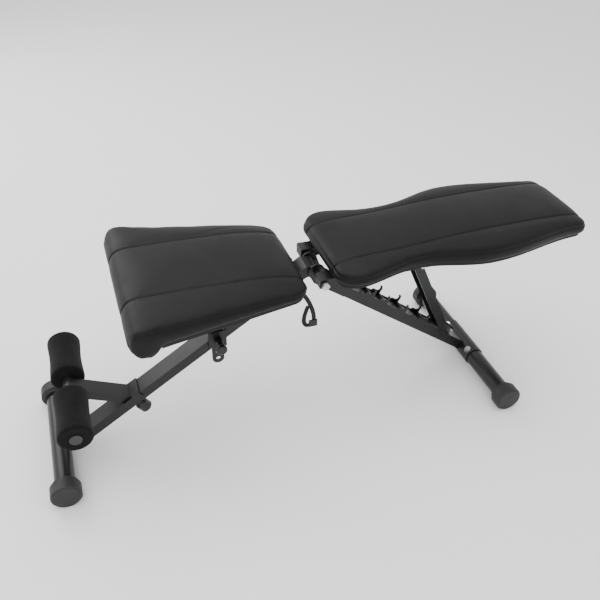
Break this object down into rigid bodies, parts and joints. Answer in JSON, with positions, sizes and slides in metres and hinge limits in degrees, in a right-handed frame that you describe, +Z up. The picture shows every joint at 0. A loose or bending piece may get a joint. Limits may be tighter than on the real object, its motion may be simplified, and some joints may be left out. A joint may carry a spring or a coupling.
{
  "type": "adjustable weight bench",
  "caption": "Folding adjustable weight bench: tilting seat, backrest with five catches, and foam leg rollers",
  "frame": {"origin": "On the floor, halfway along and halfway across the bench.", "axes": "+X runs along the bench toward the head end, +Y to the far side, +Z up."},
  "size_m": [1.322, 0.472, 0.481],
  "materials": {
    "powder_black": "satin black powder coat on steel",
    "satin_black": "satin black powder coat on steel, a little glossier",
    "rubber_black": "moulded black rubber",
    "plug_grey": "moulded dark grey plastic end plugs",
    "knob_black": "moulded black plastic knobs",
    "foam_black": "closed-cell black foam",
    "zinc": "bright zinc-plated steel",
    "plywood": "plywood boards under the pads, stained black",
    "vinyl_black": "matte black vinyl upholstery",
    "webbing_black": "woven black nylon webbing"
  },
  "bodies": {
    "front_frame": {"front_beam": "powder_black", "beam_knuckle": "powder_black", "front_neck": "powder_black", "front_crossbar": "satin_black", "front_cap_near": "rubber_black", "front_cap_far": "rubber_black", "roller_arm": "powder_black", "arm_saddle": "powder_black", "arm_stud": "zinc", "roller_bar": "satin_black", "bar_plug_near": "plug_grey", "bar_plug_far": "plug_grey", "seat_pivot_sleeve": "powder_black", "pin_guide": "powder_black", "guide_legs": "powder_black", "pin_spring": "zinc", "axle_bolt": "zinc", "axle_nut": "zinc", "axle_spacers": "satin_black"},
    "arm_knob": {"arm_knob": "knob_black"},
    "foam_near": {"foam_near": "foam_black"},
    "foam_far": {"foam_far": "foam_black"},
    "pull_pin": {"pull_pin": "zinc", "pull_knob": "knob_black"},
    "seat": {"seat_board": "plywood", "seat_pad": "vinyl_black", "seat_ears": "powder_black", "seat_pivot_bolt": "zinc", "link_lug": "powder_black", "link_bolt": "zinc", "seat_screws": "zinc", "strap": "webbing_black", "strap_tab": "webbing_black"},
    "seat_link": {"seat_link": "satin_black"},
    "backrest": {"backrest_board": "plywood", "backrest_pad": "vinyl_black", "rail_near": "powder_black", "rail_far": "powder_black", "rail_plugs": "rubber_black", "rail_tie": "powder_black", "backrest_screws": "zinc", "strut_pivot_bolt": "zinc", "strut_spacers": "satin_black"},
    "strut": {"strut_side_near": "satin_black", "strut_side_far": "satin_black", "strut_web": "satin_black", "catch_pin": "zinc", "strut_bumper": "rubber_black"},
    "rear_frame": {"ladder_beam": "powder_black", "cheek_near": "powder_black", "cheek_far": "powder_black", "catch_strips": "powder_black", "hooks_near": "powder_black", "hooks_far": "powder_black", "catch_ribs": "powder_black", "rear_saddle": "powder_black", "rear_crossbar": "satin_black", "rear_cap_near": "rubber_black", "rear_cap_far": "rubber_black", "saddle_bolts": "zinc"}
  },
  "joints": [
    {"name": "fold", "type": "hinge", "parent": "front_frame", "child": "rear_frame", "pos_m": [-0.008, 0, 0.402], "axis": [0, 1, 0], "range_deg": [0, 80]},
    {"name": "backrest_tilt", "type": "hinge", "parent": "front_frame", "child": "backrest", "pos_m": [-0.008, 0, 0.402], "axis": [0, -1, 0], "range_deg": [0, 66]},
    {"name": "strut_swing", "type": "hinge", "parent": "backrest", "child": "strut", "pos_m": [0.234, 0, 0.404], "axis": [0, 1, 0], "range_deg": [0, 79.5]},
    {"name": "seat_tilt", "type": "hinge", "parent": "front_frame", "child": "seat", "pos_m": [-0.066, 0, 0.403], "axis": [0, 1, 0], "range_deg": [0, 20]},
    {"name": "link_swing", "type": "hinge", "parent": "seat", "child": "seat_link", "pos_m": [-0.243, -0.0248, 0.378], "axis": [0, 1, 0], "range_deg": [-20.2, 0]},
    {"name": "pin_pull", "type": "slide", "parent": "front_frame", "child": "pull_pin", "axis": [0, -1, 0], "range_m": [0, 0.008], "stiffness_N_per_m": 800, "springref_m": -0.004},
    {"name": "arm_knob_turn", "type": "hinge", "parent": "front_frame", "child": "arm_knob", "pos_m": [-0.44342, 0, 0.10941], "axis": [0.5577, 0, -0.83], "continuous": true},
    {"name": "foam_near_spin", "type": "hinge", "parent": "front_frame", "child": "foam_near", "pos_m": [-0.578, 0, 0.193], "axis": [0, 1, 0], "continuous": true},
    {"name": "foam_far_spin", "type": "hinge", "parent": "front_frame", "child": "foam_far", "pos_m": [-0.578, 0, 0.193], "axis": [0, 1, 0], "continuous": true}
  ],
  "couplings": [
    {"joint": "strut_swing", "follows": "backrest_tilt", "ratio": 1.2},
    {"joint": "link_swing", "follows": "seat_tilt", "ratio": -1}
  ]
}
